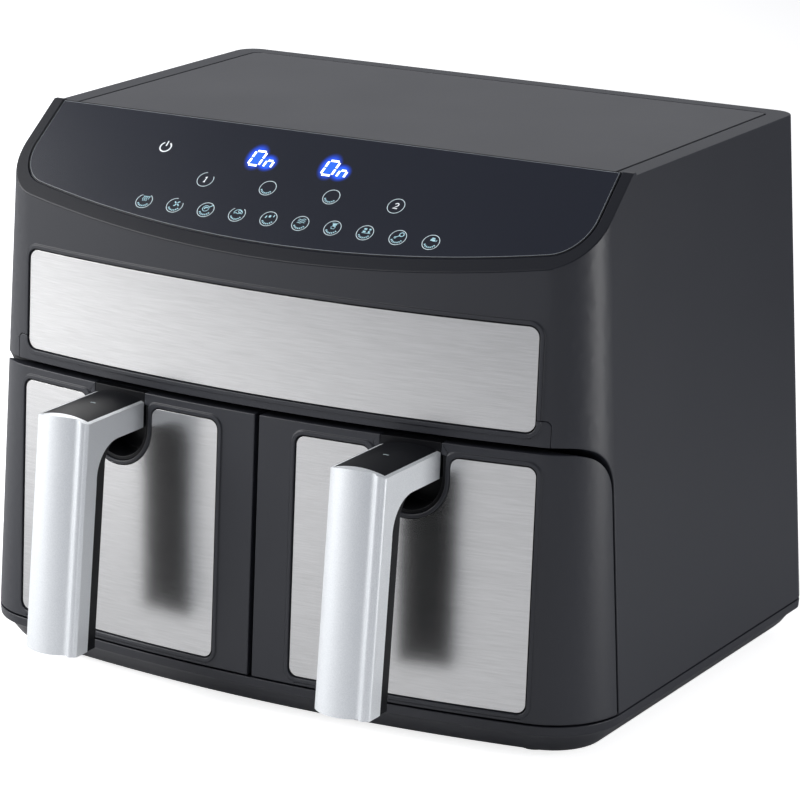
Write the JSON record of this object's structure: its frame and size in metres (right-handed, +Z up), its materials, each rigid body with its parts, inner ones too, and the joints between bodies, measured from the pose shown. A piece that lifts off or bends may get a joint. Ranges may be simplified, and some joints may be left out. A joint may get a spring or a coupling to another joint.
{
  "type": "air fryer",
  "caption": "Countertop air fryer: side-by-side pull-out drawers under a slanted glass touch panel, with lift-out crisper plates, heaters and turning fans.",
  "frame": {"origin": "on the table under the middle of the whole object's width and depth, handles included", "axes": "+X to the right of someone facing the front, the front with its handles towards -Y, +Z up"},
  "size_m": [0.388, 0.3505, 0.301],
  "materials": {
    "shell": "fine-grained dark charcoal moulding",
    "tray": "dark charcoal moulding",
    "deck": "dark grey grained plate",
    "glass": "black back-printed glass, bevelled edge",
    "steel": "horizontally brushed sheet",
    "silver": "satin silver paint on the handle's cast shell",
    "black": "black satin moulding",
    "coating": "dark non-stick coating on sheet steel",
    "sheet": "plain aluminised sheet",
    "element": "heat-darkened tube",
    "can": "motor steel",
    "board": "green circuit board",
    "part": "electronic parts",
    "spring": "sprung contact",
    "rubber": "soft black rubber",
    "silicone": "dark grey silicone",
    "screw": "zinc-plated screw",
    "magnet": "sintered magnet"
  },
  "bodies": {
    "housing": {"outer_shell": "shell", "lower_trim": "shell", "top_plate": "deck", "rear_cover": "shell", "exhaust_hoods": "shell", "rear_screws": "screw", "cord_gland": "black", "base_tray": "tray", "feet": "rubber", "tray_screws": "screw", "control_glass": "glass", "control_board": "board", "touch_springs": "spring", "display_modules": "part", "steel_strip": "steel", "centre_divider": "sheet", "power_board": "board", "cooking_chamber_left": "sheet", "cooking_chamber_right": "sheet", "heater_left": "element", "heater_right": "element", "fan_motor_left": "can", "fan_motor_right": "can", "heater_guards": "sheet", "motor_brackets": "sheet", "motor_screws": "screw", "exhaust_ducts": "sheet", "pan_runners": "sheet", "drawer_sensors": "part", "thermal_cutouts": "part"},
    "drawer_left": {"drawer_front_left": "shell", "drawer_inlay_left": "steel", "drawer_back_plate_left": "black", "handle_socket_left": "black", "handle_shell_left": "silver", "handle_liner_left": "black", "handle_cap_left": "black", "pan_left": "coating", "drawer_magnet_left": "magnet", "drawer_screws_left": "screw"},
    "crisper_left": {"crisper_plate_left": "coating", "crisper_feet_left": "silicone"},
    "fan_left": {"convection_fan_left": "sheet", "motor_shaft_left": "can", "cooling_fan_left": "part"},
    "drawer_right": {"drawer_front_right": "shell", "drawer_inlay_right": "steel", "drawer_back_plate_right": "black", "handle_socket_right": "black", "handle_shell_right": "silver", "handle_liner_right": "black", "handle_cap_right": "black", "pan_right": "coating", "drawer_magnet_right": "magnet", "drawer_screws_right": "screw"},
    "crisper_right": {"crisper_plate_right": "coating", "crisper_feet_right": "silicone"},
    "fan_right": {"convection_fan_right": "sheet", "motor_shaft_right": "can", "cooling_fan_right": "part"}
  },
  "joints": [
    {"name": "drawer_slide_left", "type": "slide", "parent": "housing", "child": "drawer_left", "axis": [0, -1, 0], "range_m": [0, 0.19]},
    {"name": "crisper_lift_left", "type": "slide", "parent": "drawer_left", "child": "crisper_left", "axis": [0, 0, 1], "range_m": [0, 0.1]},
    {"name": "fan_spin_left", "type": "hinge", "parent": "housing", "child": "fan_left", "pos_m": [-0.09225, 0.03964, 0.2], "axis": [0, 0, 1], "continuous": true},
    {"name": "drawer_slide_right", "type": "slide", "parent": "housing", "child": "drawer_right", "axis": [0, -1, 0], "range_m": [0, 0.19]},
    {"name": "crisper_lift_right", "type": "slide", "parent": "drawer_right", "child": "crisper_right", "axis": [0, 0, 1], "range_m": [0, 0.1]},
    {"name": "fan_spin_right", "type": "hinge", "parent": "housing", "child": "fan_right", "pos_m": [0.09225, 0.03964, 0.2], "axis": [0, 0, 1], "continuous": true}
  ]
}
